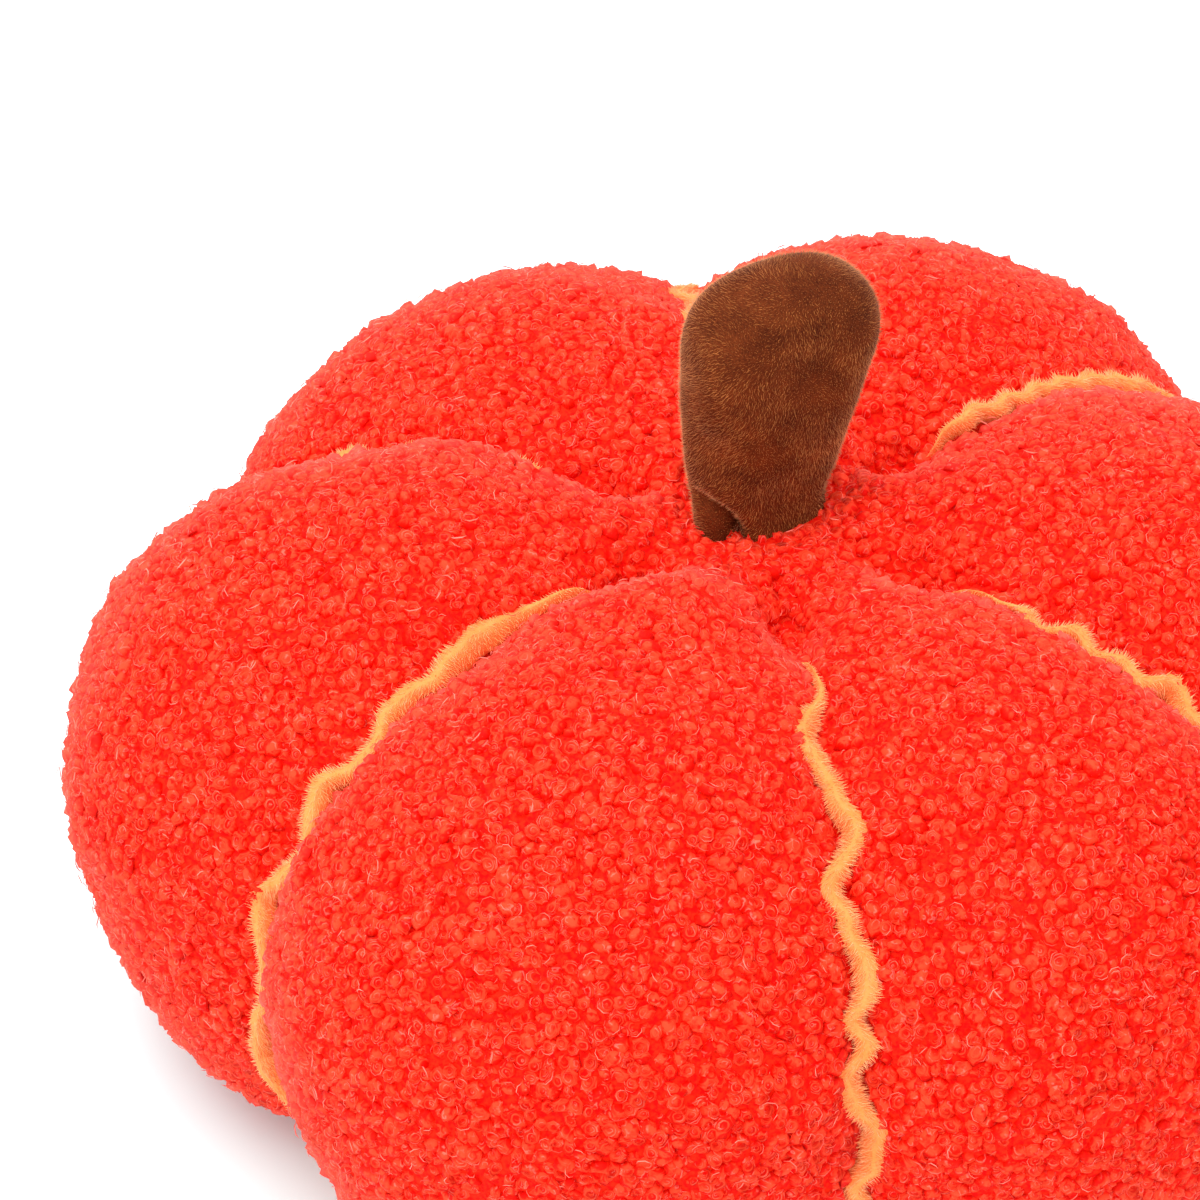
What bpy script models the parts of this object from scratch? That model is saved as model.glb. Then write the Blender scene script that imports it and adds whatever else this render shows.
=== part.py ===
"""Pumpkin cushion: a six-lobed filled body, six ruffled trims in its seams and a stuffed stem.

Metres, +Z up. The cushion rests on the flattened soles of its lobes at z = 0, with the well
for the stem at the top. Every seam lies in an upright plane through the middle, and each lobe
is blended between the valley profile of the seams and its own crest profile.
"""
import math
import random
from collections import namedtuple

import bmesh
import bpy

MM = 0.001
FINE_STEPS = 400

# Well under the stem and navel under the cushion: radius and height, in metres
WELL = (0.0255, 0.1605)
NAVEL = (0.018, 0.034)

# Profiles of a lobe's crest and of a seam's valley. Crown, belly and foot are places of
# (reach, height) in metres; inner, upper, lower and under say how full each rounded quarter is
Profile = namedtuple("Profile", "crown belly foot inner upper lower under")
CREST = Profile((0.1048, 0.1819), (0.2000, 0.0966), (0.130, -0.0025), 1.62, 1.70, 2.52, 3.0)
VALLEY = Profile((0.0548, 0.1652), (0.1671, 0.0899), (0.100, 0.0182), 1.62, 2.13, 2.71, 2.5)
QUARTER_POINTS = (10, 12, 10, 9)

# Where the lobes press together beside the stem, the valley is drawn down
PINCH_DEPTH = 0.012
PINCH_REACH = 0.043
PINCH_WIDTH = 0.022

# Form of a lobe between its two seams
LOBE_SQUARENESS = 2.1
LOBE_SHARPNESS = 0.58
LOBE_BLEND_SHARE = 0.25
COLUMNS_PER_LOBE = 15
GROOVE_HALF_WIDTH = 0.0045
GROOVE_FULL_REACH = 0.058

# Trim strip standing in each groove
TRIM_START_REACH = 0.056
TRIM_END_REACH = 0.050
TRIM_SPACING = 0.0048
TRIM_LIFT = 0.0006
TRIM_HEIGHT = 0.0088
TRIM_ROOT_HALF = 0.0017
TRIM_HEAD_HALF = 0.0030
TRIM_TAPER = 0.012
TRIM_END_SIZE = 0.45
TRIM_SWAY_POWER = 1.3
TRIM_SLANT_LIMIT = 1.35
KINK_LIMIT = 0.0046
HIDDEN_KINK_STEP_MM = (10, 17)
HIDDEN_KINK_SHIFT_MM = (2, 5)

# Stem
STEM_GAP = 0.0005
STEM_HEIGHT = 0.086
STEM_ROUNDING_START = 0.70
STEM_ROUNDING = 2.2
STEM_TOP_ANGLE = 84.0
STEM_SIDE_RINGS = 10
STEM_TOP_RINGS = 8
STEM_RING_POINTS = 36
STEM_SQUARENESS = 2.5

Lobe = namedtuple("Lobe", "name seam seam_deg reach_scale rise_scale")
LOBES = (
    Lobe("right", "front_right", -31.9, 1.001, 1.001),
    Lobe("back_right", "back_right", 37.2, 1.002, 0.991),
    Lobe("back_left", "back", 97.6, 0.977, 0.991),
    Lobe("left", "back_left", 158.3, 1.001, 1.015),
    Lobe("front", "front_left", 216.9, 1.005, 1.007),
    Lobe("front_right", "front", 277.5, 1.001, 0.989),
)

# Ruffle of each trim where it shows: distance along the seam and sideways shift, in mm
Kink = namedtuple("Kink", "along_mm sideways_mm")
RUFFLES = {
    "front": (
        Kink(0, 1), Kink(15, 4), Kink(25, 3), Kink(38, -6), Kink(54, -1), Kink(71, 5),
        Kink(82, -5), Kink(93, -1), Kink(109, 4), Kink(115, -4), Kink(122, 3),
        Kink(130, -6), Kink(147, 4), Kink(160, 3), Kink(166, -2),
    ),
    "front_left": (
        Kink(0, -2), Kink(13, 0), Kink(32, -3), Kink(42, -4), Kink(59, 0), Kink(66, -3),
        Kink(84, 3), Kink(97, -3), Kink(113, 5), Kink(122, 1), Kink(130, -5),
        Kink(143, 2), Kink(154, 4), Kink(170, 0), Kink(188, -3),
    ),
    "front_right": (
        Kink(0, -2), Kink(12, -4), Kink(31, -6), Kink(45, -1), Kink(56, -3), Kink(72, 5),
        Kink(82, 1), Kink(93, -4),
    ),
    "back_right": (
        Kink(0, -5), Kink(12, -1), Kink(25, -2), Kink(38, -1), Kink(51, 1), Kink(64, 2),
        Kink(76, 2), Kink(90, 1), Kink(104, -4),
    ),
    "back": (Kink(0, 1), Kink(20, -3), Kink(41, 4), Kink(56, -2)),
    "back_left": (Kink(0, -2), Kink(22, 3), Kink(38, 1), Kink(51, -2)),
}

# Stem centre line and widths from its base upwards, before the top rounds over
StemSection = namedtuple("StemSection", "rise x_mm y_mm half_width_mm half_depth_mm turn_deg")
STEM_SECTIONS = (
    StemSection(0.00, 0.5, 5.0, 20.4, 14.2, 31.0),
    StemSection(0.06, -0.6, 5.2, 19.6, 14.4, 30.0),
    StemSection(0.12, -1.5, 5.4, 20.3, 15.3, 29.0),
    StemSection(0.30, -0.8, 5.0, 23.2, 17.6, 27.0),
    StemSection(0.50, 0.8, 4.6, 25.9, 19.4, 26.0),
    StemSection(0.70, 3.2, 4.2, 28.0, 20.4, 25.0),
    StemSection(1.00, 7.4, 3.6, 28.4, 20.4, 25.0),
)

Finish = namedtuple("Finish", "name color roughness")
FLEECE = Finish("red_fleece", (0.90, 0.045, 0.025, 1.0), 0.95)
TRIM_PLUSH = Finish("orange_plush", (1.0, 0.42, 0.09, 1.0), 0.90)
STEM_PLUSH = Finish("brown_plush", (0.17, 0.062, 0.028, 1.0), 0.85)


def clear_objects():
    """Remove whatever the opened file holds."""
    for item in list(bpy.data.objects):
        bpy.data.objects.remove(item, do_unlink=True)


def finish_material(finish):
    """Return the material of one finish, made on its first use."""
    material = bpy.data.materials.get(finish.name)
    if material is None:
        material = bpy.data.materials.new(finish.name)
        material.use_nodes = True
        shader = material.node_tree.nodes["Principled BSDF"]
        shader.inputs["Base Color"].default_value = finish.color
        shader.inputs["Roughness"].default_value = finish.roughness
        material.diffuse_color = finish.color
    return material


def add_skin(name, rings, finish, crease_deg=40.0):
    """Add one closed skin from rings of points, capped flat at both ends."""
    mesh = bpy.data.meshes.new(name)
    skin = bmesh.new()
    rows = [[skin.verts.new(point) for point in ring] for ring in rings]
    count = len(rows[0])
    for lower, upper in zip(rows, rows[1:]):
        for column in range(count):
            following = (column + 1) % count
            skin.faces.new((lower[column], lower[following], upper[following], upper[column]))
    skin.faces.new(rows[0])
    skin.faces.new(rows[-1])
    bmesh.ops.recalc_face_normals(skin, faces=skin.faces)
    skin.to_mesh(mesh)
    skin.free()
    mesh.materials.append(finish_material(finish))
    mesh.shade_smooth()
    mesh.set_sharp_from_angle(angle=math.radians(crease_deg))
    part = bpy.data.objects.new(name, mesh)
    bpy.context.scene.collection.objects.link(part)
    return part


def mix(start, end, share):
    """Return the value that lies a share of the way from start to end."""
    return start + (end - start) * share


def between(rows, column, position, value):
    """Read value at a position from named rows, straight between neighbouring rows."""
    for here, there in zip(rows, rows[1:]):
        if position <= getattr(there, column):
            span = getattr(there, column) - getattr(here, column)
            share = max(0.0, (position - getattr(here, column)) / span)
            return mix(getattr(here, value), getattr(there, value), share)
    return getattr(rows[-1], value)


def spaced(points, count):
    """Return count points at even distances along a line of points."""
    lengths = [0.0]
    for here, there in zip(points, points[1:]):
        lengths.append(lengths[-1] + math.dist(here, there))
    result = []
    index = 0
    for step in range(count):
        target = lengths[-1] * step / (count - 1)
        while index < len(points) - 2 and lengths[index + 1] < target:
            index += 1
        span = lengths[index + 1] - lengths[index]
        share = (target - lengths[index]) / span
        result.append(tuple(mix(a, b, share) for a, b in zip(points[index], points[index + 1])))
    return result


def quarter_curve(pole, side, fullness, count):
    """Return a rounded quarter from its pole, a point of level slope, to its upright side."""
    curve = []
    power = 2.0 / fullness
    for step in range(FINE_STEPS + 1):
        angle = 0.5 * math.pi * step / FINE_STEPS
        reach = mix(pole[0], side[0], math.sin(angle) ** power)
        height = mix(side[1], pole[1], max(0.0, math.cos(angle)) ** power)
        curve.append((reach, height))
    return spaced(curve, count)


def profile_line(profile):
    """Return a profile as points from the well, over crown and belly, down to the navel."""
    inner_points, upper_points, lower_points, under_points = QUARTER_POINTS
    inner = quarter_curve(profile.crown, WELL, profile.inner, inner_points)[::-1]
    upper = quarter_curve(profile.crown, profile.belly, profile.upper, upper_points)
    lower = quarter_curve(profile.foot, profile.belly, profile.lower, lower_points)[::-1]
    under = quarter_curve(profile.foot, NAVEL, profile.under, under_points)
    return inner + upper[1:] + lower[1:] + under[1:]


def valley_line():
    """Return the line of a seam, drawn down where the lobes press together."""
    line = []
    for reach, height in profile_line(VALLEY):
        away = min(1.0, abs(reach - PINCH_REACH) / PINCH_WIDTH)
        if height > VALLEY.belly[1]:
            height -= PINCH_DEPTH * math.cos(0.5 * math.pi * away) ** 2
        line.append((reach, height))
    return line


def groove_half_width(reach):
    """Return half the width of the groove floor, which closes up towards the middle."""
    return GROOVE_HALF_WIDTH * min(1.0, reach / GROOVE_FULL_REACH) ** 2


def lobe_column(lobe, next_seam_deg, across, row_share, valley_point, crest_point):
    """Return one point of a lobe; across runs from -1 at one seam to 1 at the next."""
    blend = min(1.0, row_share / LOBE_BLEND_SHARE, (1.0 - row_share) / LOBE_BLEND_SHARE)
    crest_reach = crest_point[0] * mix(1.0, lobe.reach_scale, blend)
    crest_height = crest_point[1] * mix(1.0, lobe.rise_scale, blend)
    arch = max(0.0, 1.0 - abs(across) ** LOBE_SQUARENESS) ** LOBE_SHARPNESS
    reach = mix(valley_point[0], crest_reach, arch)
    height = max(0.0, mix(valley_point[1], crest_height, arch))
    half_span = math.radians(next_seam_deg - lobe.seam_deg) / 2
    half_span -= math.asin(groove_half_width(reach) / reach)
    azimuth = math.radians(lobe.seam_deg + next_seam_deg) / 2 + half_span * across
    return (reach * math.cos(azimuth), reach * math.sin(azimuth), height)


def build_body():
    """Add the filled body as one closed skin over all six lobes."""
    crest = profile_line(CREST)
    last = len(crest) - 1
    rings = []
    for row, (valley_point, crest_point) in enumerate(zip(valley_line(), crest)):
        ring = []
        for index, lobe in enumerate(LOBES):
            following = LOBES[(index + 1) % len(LOBES)].seam_deg
            if following < lobe.seam_deg:
                following += 360.0
            for column in range(COLUMNS_PER_LOBE):
                turn = math.pi * (column / (COLUMNS_PER_LOBE - 1) - 0.5)
                ring.append(lobe_column(lobe, following, math.sin(turn), row / last,
                                        valley_point, crest_point))
        rings.append(ring)
    return add_skin("cushion_body", rings, FLEECE, crease_deg=50.0)


def seam_line():
    """Return the stretch of the valley that carries a trim, evenly spaced, and its length."""
    line = spaced(valley_line(), FINE_STEPS)
    belly = max(range(len(line)), key=lambda index: line[index][0])
    top = [point for point in line[:belly] if point[0] >= TRIM_START_REACH]
    under = [point for point in line[belly:] if point[0] >= TRIM_END_REACH]
    stretch = top + under
    length = sum(math.dist(a, b) for a, b in zip(stretch, stretch[1:]))
    return spaced(stretch, round(length / TRIM_SPACING) + 1), length


def full_ruffle(seam, length):
    """Return the kinks of one trim, carried on in the same manner where they are hidden."""
    kinks = list(RUFFLES[seam])
    rng = random.Random("ruffle " + seam)
    side = -math.copysign(1.0, kinks[-1].sideways_mm)
    while kinks[-1].along_mm * MM < length:
        along_mm = kinks[-1].along_mm + rng.uniform(*HIDDEN_KINK_STEP_MM)
        kinks.append(Kink(along_mm, side * rng.uniform(*HIDDEN_KINK_SHIFT_MM)))
        side = -side
    return kinks


def sideways_shift(kinks, along):
    """Return the sideways shift of a trim's free edge, eased between its kinks."""
    for here, there in zip(kinks, kinks[1:]):
        if along <= there.along_mm * MM:
            share = (along / MM - here.along_mm) / (there.along_mm - here.along_mm)
            eased = 0.5 - 0.5 * math.cos(math.pi * share)
            shift = mix(here.sideways_mm, there.sideways_mm, eased) * MM
            return max(-KINK_LIMIT, min(KINK_LIMIT, shift))
    return 0.0


def trim_section(size, shift, slant):
    """Return the outline of a trim across its run: pairs of sideways place and height."""
    root = TRIM_ROOT_HALF * size * slant
    head = TRIM_HEAD_HALF * size * slant
    halves = ((0.0, root), (0.45, mix(root, head, 0.5)), (0.80, head), (1.0, 0.6 * head))
    outline = [(rise, half) for rise, half in halves]
    outline += [(rise, -half) for rise, half in reversed(halves)]
    section = []
    for rise, half in outline:
        sway = shift * size * rise ** TRIM_SWAY_POWER
        section.append((sway + half, TRIM_LIFT + TRIM_HEIGHT * rise * size))
    return section


def build_trim(lobe):
    """Add the ruffled trim that stands in the groove at the seam before a lobe."""
    line, length = seam_line()
    kinks = full_ruffle(lobe.seam, length)
    step = length / (len(line) - 1)
    azimuth = math.radians(lobe.seam_deg)
    outward = (math.cos(azimuth), math.sin(azimuth))
    rings = []
    for index, (reach, height) in enumerate(line):
        along = index * step
        before = line[max(0, index - 1)]
        after = line[min(len(line) - 1, index + 1)]
        run = math.dist(before, after)
        normal = (-(after[1] - before[1]) / run, (after[0] - before[0]) / run)
        near_end = min(along, length - along)
        size = mix(TRIM_END_SIZE, 1.0, min(1.0, near_end / TRIM_TAPER))
        shift = sideways_shift(kinks, along)
        drift = sideways_shift(kinks, along + step) - sideways_shift(kinks, along - step)
        slant = min(TRIM_SLANT_LIMIT, math.hypot(1.0, drift / (2 * step)))
        ring = []
        for side, rise in trim_section(size, shift, slant):
            place = reach + normal[0] * rise
            ring.append((
                place * outward[0] - side * outward[1],
                place * outward[1] + side * outward[0],
                height + normal[1] * rise,
            ))
        rings.append(ring)
    return add_skin("trim_" + lobe.seam, rings, TRIM_PLUSH, crease_deg=70.0)


def stem_ring(rise, shrink):
    """Return the outline of the stem at a share of its height."""
    values = [between(STEM_SECTIONS, "rise", rise, column) for column in StemSection._fields[1:]]
    x_mm, y_mm, half_width, half_depth, turn_deg = values
    turn = math.radians(turn_deg)
    power = 2.0 / STEM_SQUARENESS
    ring = []
    for index in range(STEM_RING_POINTS):
        angle = 2 * math.pi * index / STEM_RING_POINTS
        cos_angle = math.cos(angle)
        sin_angle = math.sin(angle)
        wide = half_width * shrink * math.copysign(abs(cos_angle) ** power, cos_angle)
        deep = half_depth * shrink * math.copysign(abs(sin_angle) ** power, sin_angle)
        ring.append((
            (x_mm + wide * math.cos(turn) - deep * math.sin(turn)) * MM,
            (y_mm + wide * math.sin(turn) + deep * math.cos(turn)) * MM,
            WELL[1] + STEM_GAP + STEM_HEIGHT * rise,
        ))
    return ring


def build_stem():
    """Add the stuffed stem, standing in the well and rounded over at its top."""
    rings = []
    for step in range(STEM_SIDE_RINGS + 1):
        rings.append(stem_ring(STEM_ROUNDING_START * step / STEM_SIDE_RINGS, 1.0))
    for step in range(1, STEM_TOP_RINGS + 1):
        sine = math.sin(math.radians(STEM_TOP_ANGLE * step / STEM_TOP_RINGS))
        shrink = (1.0 - sine ** STEM_ROUNDING) ** (1 / STEM_ROUNDING)
        rings.append(stem_ring(mix(STEM_ROUNDING_START, 1.0, sine), shrink))
    return add_skin("stem", rings, STEM_PLUSH)


def main():
    """Build the cushion piece by piece."""
    clear_objects()
    build_body()
    for lobe in LOBES:
        build_trim(lobe)
    build_stem()


main()
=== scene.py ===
"""Looks of a pumpkin cushion: curly fleece lobes, ruffled plush trims and a stuffed plush stem.

Metres, +Z up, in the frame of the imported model. The body and the stem are filled cloth, puffed
out by a short cloth simulation and then covered with their own pile: rolled curls on the body,
short upright fibres on the trims and the stem.
"""
import logging
import math
from dataclasses import dataclass
from enum import Enum

import bpy
import numpy as np
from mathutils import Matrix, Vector
from mathutils.kdtree import KDTree


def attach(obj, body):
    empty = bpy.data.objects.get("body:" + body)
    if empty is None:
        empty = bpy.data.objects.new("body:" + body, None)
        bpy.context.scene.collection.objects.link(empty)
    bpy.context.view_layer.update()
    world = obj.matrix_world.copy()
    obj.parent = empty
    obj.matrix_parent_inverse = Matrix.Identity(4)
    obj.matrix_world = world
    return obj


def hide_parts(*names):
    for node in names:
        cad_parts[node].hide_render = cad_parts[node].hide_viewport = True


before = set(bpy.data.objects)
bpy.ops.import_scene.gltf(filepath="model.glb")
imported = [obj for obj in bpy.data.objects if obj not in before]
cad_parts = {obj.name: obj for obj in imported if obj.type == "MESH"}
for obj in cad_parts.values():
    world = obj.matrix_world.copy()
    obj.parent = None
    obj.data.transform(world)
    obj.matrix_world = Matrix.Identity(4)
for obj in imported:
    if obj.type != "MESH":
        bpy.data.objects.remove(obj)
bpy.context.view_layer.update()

MM = 0.001
LOG = logging.getLogger("pumpkin_cushion")
UP = (0.0, 0.0, 1.0)
# The middle of each lobe's upright section: its height, and its reach from the cushion's middle
SECTION_MIDDLE = 0.09
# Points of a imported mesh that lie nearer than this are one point
WELD = 0.00005

Socket = bpy.types.NodeSocket
Object = bpy.types.Object


class Seam(Enum):
    """The six upright seams of the body, each with its azimuth in degrees."""

    FRONT_RIGHT = ("front_right", -31.9)
    BACK_RIGHT = ("back_right", 37.2)
    BACK = ("back", 97.6)
    BACK_LEFT = ("back_left", 158.3)
    FRONT_LEFT = ("front_left", 216.9)
    FRONT = ("front", 277.5)

    @property
    def node(self) -> str:
        """Return the name of the trim's node."""
        return "trim_" + self.value[0]

    @property
    def azimuth(self) -> float:
        """Return the azimuth in radians."""
        return math.radians(self.value[1])

    @property
    def ahead(self) -> np.ndarray:
        """Return the level direction from the middle to the seam."""
        return np.array((math.cos(self.azimuth), math.sin(self.azimuth), 0.0))

    @property
    def side(self) -> np.ndarray:
        """Return the level direction across the seam, counter-clockwise."""
        return np.array((-math.sin(self.azimuth), math.cos(self.azimuth), 0.0))

    def across(self, places: np.ndarray) -> np.ndarray:
        """Return how far places lie to the side of this seam's half plane.

        Args:
            places: places as rows of x, y and z.

        Returns:
            Signed distances, counter-clockwise positive, and 1 metre behind the middle.
        """
        side = places[:, 1] * math.cos(self.azimuth) - places[:, 0] * math.sin(self.azimuth)
        ahead = places[:, 0] * math.cos(self.azimuth) + places[:, 1] * math.sin(self.azimuth)
        return np.where(ahead > 0, side, 1.0)


class Lobe(Enum):
    """The six lobes, each lying between two neighbouring seams."""

    RIGHT = ("right", Seam.FRONT_RIGHT, Seam.BACK_RIGHT)
    BACK_RIGHT = ("back_right", Seam.BACK_RIGHT, Seam.BACK)
    BACK_LEFT = ("back_left", Seam.BACK, Seam.BACK_LEFT)
    LEFT = ("left", Seam.BACK_LEFT, Seam.FRONT_LEFT)
    FRONT = ("front", Seam.FRONT_LEFT, Seam.FRONT)
    FRONT_RIGHT = ("front_right", Seam.FRONT, Seam.FRONT_RIGHT)

    def holds(self, points: np.ndarray) -> np.ndarray:
        """Tell which points lie between this lobe's two seams.

        Args:
            points: places as rows of x, y and z.

        Returns:
            One truth value for each point.
        """
        full = 2 * math.pi
        start = self.value[1].azimuth
        span = (self.value[2].azimuth - start) % full
        return (np.arctan2(points[:, 1], points[:, 0]) - start) % full < span


def srgb(code: str) -> tuple[float, float, float, float]:
    """Turn an sRGB hex value to a linear colour.

    Args:
        code: a colour such as "#FF8040".

    Returns:
        Linear red, green, blue and an alpha of one.
    """
    shares = [int(code[place:place + 2], 16) / 255 for place in (1, 3, 5)]
    linear = [s / 12.92 if s <= 0.04045 else ((s + 0.055) / 1.055) ** 2.4 for s in shares]
    return (linear[0], linear[1], linear[2], 1.0)


def set_inputs(tree: bpy.types.NodeTree, node: bpy.types.Node, inputs: dict) -> None:
    """Link or set a node's inputs.

    Args:
        tree: the node tree that holds the node.
        node: the node.
        inputs: a value, or an output to link, for each input by name or number.
    """
    for key, value in inputs.items():
        if isinstance(value, Socket):
            tree.links.new(value, node.inputs[key])
        else:
            node.inputs[key].default_value = value


def add_node(tree: bpy.types.NodeTree, kind: str, inputs: dict | None = None,
             **settings: object) -> bpy.types.Node:
    """Add one node with its settings, values and links.

    Args:
        tree: the node tree that takes the node.
        kind: the node's type name.
        inputs: a value, or an output to link, for each input by name or number.
        settings: properties of the node itself.

    Returns:
        The new node.
    """
    node = tree.nodes.new(kind)
    for name, value in settings.items():
        setattr(node, name, value)
    set_inputs(tree, node, inputs or {})
    return node


@dataclass
class Graph:
    """The node tree of one new material, built up from sockets."""

    name: str

    def __post_init__(self) -> None:
        """Start the material."""
        self.material = bpy.data.materials.new(self.name)
        self.material.use_nodes = True
        self.tree = self.material.node_tree

    def maths(self, operation: str, *values: Socket | float, clamp: bool = False) -> Socket:
        """Return what a maths node makes of its values."""
        return add_node(self.tree, "ShaderNodeMath", dict(enumerate(values)),
                        operation=operation, use_clamp=clamp).outputs[0]

    def vectors(self, operation: str, *values: Socket | tuple, out: str = "Vector") -> Socket:
        """Return what a vector maths node makes of its values."""
        return add_node(self.tree, "ShaderNodeVectorMath", dict(enumerate(values)),
                        operation=operation).outputs[out]

    def attribute(self, name: str, out: str = "Vector") -> Socket:
        """Return an attribute of the mesh."""
        return add_node(self.tree, "ShaderNodeAttribute", attribute_name=name).outputs[out]

    def parts(self, vector: Socket) -> bpy.types.bpy_prop_collection:
        """Return the x, y and z of a vector as three sockets."""
        return add_node(self.tree, "ShaderNodeSeparateXYZ", {0: vector}).outputs

    def noise(self, grain: float, detail: float, roughness: float = 0.5) -> Socket:
        """Make noise in the object's own space.

        Args:
            grain: the size of the grains in metres.
            detail: how many finer layers it has.
            roughness: how strong the finer layers are.

        Returns:
            A share from 0 to 1.
        """
        place = add_node(self.tree, "ShaderNodeTexCoord").outputs["Object"]
        return add_node(self.tree, "ShaderNodeTexNoise", {
            "Vector": place, "Scale": 1 / grain, "Detail": detail,
            "Roughness": roughness}).outputs["Fac"]

    def climb(self, value: Socket, low: float, high: float, most: float = 1.0) -> Socket:
        """Return a share that climbs from 0 at the low value to the most at the high one."""
        return add_node(self.tree, "ShaderNodeMapRange", {
            "Value": value, "From Min": low, "From Max": high, "To Max": most}).outputs[0]

    def mixed(self, share: Socket, first: Socket, second: str) -> Socket:
        """Return a colour mixed with a share of a second one, which is an sRGB hex value."""
        return add_node(self.tree, "ShaderNodeMix", {0: share, 6: first, 7: srgb(second)},
                        data_type="RGBA").outputs[2]

    def ramp(self, value: Socket, *stops: tuple[float, str]) -> Socket:
        """Turn a value to a colour.

        Args:
            value: the socket that is looked up.
            stops: pairs of position and sRGB hex value.

        Returns:
            The colour's socket.
        """
        node = add_node(self.tree, "ShaderNodeValToRGB", {0: value})
        elements = node.color_ramp.elements
        while len(elements) < len(stops):
            elements.new(1.0)
        for element, (position, code) in zip(elements, stops):
            element.position = position
            element.color = srgb(code)
        return node.outputs["Color"]

    def painted_rim_sheen(self, power: float, most: float) -> Socket:
        """Return how far a pile is seen edge on, for a painted sheen of pale colour where the light
        glows through its tips.

        Args:
            power: how narrow the rim is.
            most: the share at the very edge.

        Returns:
            A share, which is 0 where a piece has no attribute pile_out.
        """
        outward = self.attribute("pile_out")
        view = add_node(self.tree, "ShaderNodeNewGeometry").outputs["Incoming"]
        facing = self.vectors("DOT_PRODUCT", outward, view, out="Value")
        narrow = self.maths("POWER", self.maths("SUBTRACT", 1.0, facing, clamp=True), power)
        known = self.maths("MULTIPLY", narrow, self.vectors("LENGTH", outward, out="Value"))
        return self.maths("MULTIPLY", known, most)

    def finished(self, colour: Socket, painted_glow: float, inputs: dict) -> bpy.types.Material:
        """Give the surface its colour, a painted glow in that colour, and its other values.

        Args:
            colour: the colour's socket.
            painted_glow: how strongly the surface glows in its own colour, painted light that lifts
                its shade, as a share.
            inputs: a value, or an output to link, for each other input of the surface.

        Returns:
            The finished material.
        """
        # The emission paints a glow in the surface's own colour, which lifts its shade; the cloth
        # is no lamp
        set_inputs(self.tree, self.tree.nodes["Principled BSDF"], {
            "Base Color": colour, "Emission Color": colour, "Emission Strength": painted_glow,
            **inputs})
        return self.material


def select_only(piece: Object) -> None:
    """Make one object the only one selected, and the active one.

    Args:
        piece: the object.
    """
    bpy.ops.object.select_all(action="DESELECT")
    piece.select_set(True)
    bpy.context.view_layer.objects.active = piece


def apply_modifier(piece: Object, kind: str, **settings: object) -> None:
    """Add a modifier to a piece and apply it.

    Args:
        piece: the object that is changed.
        kind: the modifier's type name.
        settings: properties of the modifier.
    """
    select_only(piece)
    modifier = piece.modifiers.new(kind.lower(), kind)
    for name, value in settings.items():
        setattr(modifier, name, value)
    bpy.ops.object.modifier_apply(modifier=modifier.name)


def copy_of_node(node: str, name: str) -> Object:
    """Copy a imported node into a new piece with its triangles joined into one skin.

    Args:
        node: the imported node's name.
        name: the new piece's name.

    Returns:
        The copy, with its own mesh.
    """
    piece = bpy.data.objects.new(name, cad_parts[node].data.copy())
    piece.data.materials.clear()
    bpy.context.scene.collection.objects.link(piece)
    select_only(piece)
    bpy.ops.object.mode_set(mode="EDIT")
    bpy.ops.mesh.select_all(action="SELECT")
    bpy.ops.mesh.remove_doubles(threshold=WELD)
    bpy.ops.mesh.customdata_custom_splitnormals_clear()
    bpy.ops.object.mode_set(mode="OBJECT")
    bpy.ops.object.shade_smooth()
    return piece


def read_rows(items: bpy.types.bpy_prop_collection, name: str) -> np.ndarray:
    """Read a property with three parts of every item.

    Args:
        items: the items, such as a mesh's points.
        name: the property's name.

    Returns:
        One row for each item.
    """
    values = np.empty(len(items) * 3, np.float32)
    items.foreach_get(name, values)
    return values.reshape(-1, 3).astype(float)


def read_points(piece: Object) -> np.ndarray:
    """Return the places of a piece's points as rows of x, y and z."""
    return read_rows(piece.data.vertices, "co")


def write_points(piece: Object, places: np.ndarray) -> None:
    """Put the points of a piece at new places."""
    piece.data.vertices.foreach_set("co", places.astype(np.float32).ravel())
    piece.data.update()


def read_normals(piece: Object) -> np.ndarray:
    """Return the outward directions at a piece's points."""
    return read_rows(piece.data.vertices, "normal")


def unit(vectors: np.ndarray) -> np.ndarray:
    """Return the rows of an array at length one."""
    return vectors / np.maximum(np.linalg.norm(vectors, axis=-1, keepdims=True), 1e-9)


# The cloth simulation's settings for a cover that its filling puffs out
COVER = {"quality": 5, "mass": 0.3, "tension_stiffness": 12, "compression_stiffness": 12,
         "shear_stiffness": 4, "bending_stiffness": 0.3, "use_pressure": True,
         "vertex_group_mass": "sewn"}


@dataclass(frozen=True)
class Puff:
    """How a filled cover is puffed out by a short cloth simulation."""

    voxel: float
    pressure: float
    cap: float
    frames: int = 20

    def fill(self, piece: Object, held: np.ndarray) -> None:
        """Puff a closed skin out, with some of its points held still.

        Args:
            piece: the closed skin, already at the resolution of the simulation.
            held: one share for each point, 1 where it is sewn or pressed down.
        """
        before = read_points(piece)
        pins = piece.vertex_groups.new(name=COVER["vertex_group_mass"])
        for index in np.flatnonzero(held > 0.01):
            pins.add([int(index)], float(held[index]), "REPLACE")
        select_only(piece)
        cloth = piece.modifiers.new("filling", "CLOTH")
        for name, value in COVER.items():
            setattr(cloth.settings, name, value)
        cloth.settings.uniform_pressure_force = self.pressure
        cloth.settings.effector_weights.gravity = 0.0
        cloth.collision_settings.use_collision = False
        cloth.point_cache.frame_start = 1
        cloth.point_cache.frame_end = self.frames
        for step in range(1, self.frames + 1):
            bpy.context.scene.frame_set(step)
        bpy.ops.object.modifier_apply(modifier=cloth.name)
        bpy.context.scene.frame_set(1)
        moved = read_points(piece) - before
        length = np.linalg.norm(moved, axis=1, keepdims=True)
        moved *= np.minimum(1.0, self.cap / np.maximum(length, 1e-9))
        write_points(piece, before + moved)
        piece.vertex_groups.clear()


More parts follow.
